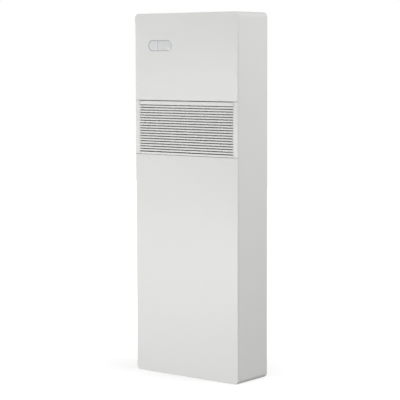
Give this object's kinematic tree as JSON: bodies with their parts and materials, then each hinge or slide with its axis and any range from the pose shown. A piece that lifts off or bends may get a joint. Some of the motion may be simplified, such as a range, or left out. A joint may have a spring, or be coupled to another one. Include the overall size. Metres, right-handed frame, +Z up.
{
  "type": "monoblock air conditioner",
  "caption": "Slim upright white air conditioner without an outdoor unit: plain front, slatted outlet, pill-shaped display, two wall ports at the back.",
  "frame": {"origin": "Middle of the footprint, on the floor under the unit.", "axes": "+Z up along the height, +Y towards the wall (the front faces -Y), +X to the right seen from the front."},
  "size_m": [0.5, 0.185, 1.398],
  "materials": {
    "coated_sheet": "satin white powder coat",
    "front_white": "satin white powder coat",
    "grille_white": "moulded, fine texture",
    "inner_white": "moulded",
    "bezel_grey": "polished",
    "display_grey": "clear coated",
    "key_pale": "clear coated",
    "board_green": "coated circuit board",
    "mesh_grey": "fine woven mesh",
    "fin_blue": "thin fins with a pale blue coating",
    "fin_plain": "thin plain fins",
    "copper": "drawn copper",
    "brass": "turned brass",
    "zinc_sheet": "galvanised sheet",
    "zinc_fastener": "zinc plated",
    "spring_steel": "spring steel strip",
    "bright_steel": "ground",
    "motor_grey": "grey enamel",
    "black_enamel": "black enamel",
    "fan_grey": "glass filled, moulded",
    "foam_white": "moulded foam with a skin",
    "foam_grey": "dense insulating foam",
    "hose_grey": "soft hose",
    "collar_grey": "moulded",
    "rubber_black": "moulded rubber"
  },
  "bodies": {
    "root": {"casing": "coated_sheet", "rear_panel": "zinc_sheet", "rear_screws": "zinc_fastener", "base_pan": "zinc_sheet", "upper_front_panel": "front_white", "lower_front_panel": "front_white", "panel_clips": "spring_steel", "grille_frame": "front_white", "outlet_grille": "grille_white", "display_bezel": "bezel_grey", "display_lens": "display_grey", "touch_key": "key_pale", "display_board": "board_green", "top_intake_grille": "grille_white", "evaporator_fins": "fin_blue", "evaporator_tubes": "copper", "evaporator_end_plates": "zinc_sheet", "drip_tray": "inner_white", "drain_tube": "hose_grey", "air_guide": "foam_white", "air_tongue": "foam_white", "duct_end_walls": "foam_white", "fan_bearing": "rubber_black", "indoor_fan_motor": "motor_grey", "vane_rails": "inner_white", "vane_motor": "motor_grey", "bulkhead": "foam_grey", "condenser_fins": "fin_plain", "condenser_tubes": "copper", "condenser_end_plates": "zinc_sheet", "intake_baffle": "zinc_sheet", "outdoor_fan_motor": "motor_grey", "scroll_housing": "foam_white", "scroll_cover": "foam_white", "exhaust_duct": "foam_white", "port_collars": "collar_grey", "compressor": "black_enamel", "accumulator": "black_enamel", "compressor_mounts": "rubber_black", "compressor_bolts": "zinc_fastener", "four_way_valve": "brass", "filter_drier": "copper", "expansion_valve": "brass", "refrigerant_pipes": "copper", "control_box": "zinc_sheet", "control_board": "board_green", "cable_gland": "rubber_black"},
    "filter": {"filter_frame": "inner_white", "filter_mesh": "mesh_grey"},
    "crossflow_fan": {"crossflow_fan": "fan_grey", "crossflow_shafts": "bright_steel"},
    "outdoor_fan": {"outdoor_fan_wheel": "fan_grey", "outdoor_fan_shaft": "bright_steel"},
    "vane_link": {"vane_link": "inner_white"},
    "vane_1": {"steering_vane_1": "inner_white"},
    "vane_2": {"steering_vane_2": "inner_white"},
    "vane_3": {"steering_vane_3": "inner_white"},
    "vane_4": {"steering_vane_4": "inner_white"},
    "vane_5": {"steering_vane_5": "inner_white"}
  },
  "joints": [
    {"name": "filter_slide", "type": "slide", "parent": "root", "child": "filter", "axis": [0, 0.4384, 0.8988], "range_m": [0, 0.3]},
    {"name": "crossflow_spin", "type": "hinge", "parent": "root", "child": "crossflow_fan", "pos_m": [0, 0.016, 0.9652], "axis": [1, 0, 0], "continuous": true},
    {"name": "outdoor_spin", "type": "hinge", "parent": "root", "child": "outdoor_fan", "pos_m": [0.01, 0, 0.72117], "axis": [0, 1, 0], "continuous": true},
    {"name": "vane_1_turn", "type": "hinge", "parent": "root", "child": "vane_1", "pos_m": [-0.156, -0.06, 0.95], "axis": [0, 0, 1], "range_deg": [-35, 35]},
    {"name": "vane_2_turn", "type": "hinge", "parent": "root", "child": "vane_2", "pos_m": [-0.078, -0.06, 0.95], "axis": [0, 0, 1], "range_deg": [-35, 35]},
    {"name": "vane_3_turn", "type": "hinge", "parent": "root", "child": "vane_3", "pos_m": [0, -0.06, 0.95], "axis": [0, 0, 1], "range_deg": [-35, 35]},
    {"name": "vane_4_turn", "type": "hinge", "parent": "root", "child": "vane_4", "pos_m": [0.078, -0.06, 0.95], "axis": [0, 0, 1], "range_deg": [-35, 35]},
    {"name": "vane_5_turn", "type": "hinge", "parent": "root", "child": "vane_5", "pos_m": [0.156, -0.06, 0.95], "axis": [0, 0, 1], "range_deg": [-35, 35]},
    {"name": "link_pivot", "type": "hinge", "parent": "vane_1", "child": "vane_link", "pos_m": [-0.156, -0.051, 1.039], "axis": [0, 0, 1], "range_deg": [-35, 35]}
  ],
  "couplings": [
    {"joint": "vane_2_turn", "follows": "vane_1_turn", "ratio": 1},
    {"joint": "vane_3_turn", "follows": "vane_1_turn", "ratio": 1},
    {"joint": "vane_4_turn", "follows": "vane_1_turn", "ratio": 1},
    {"joint": "vane_5_turn", "follows": "vane_1_turn", "ratio": 1},
    {"joint": "link_pivot", "follows": "vane_1_turn", "ratio": -1}
  ]
}
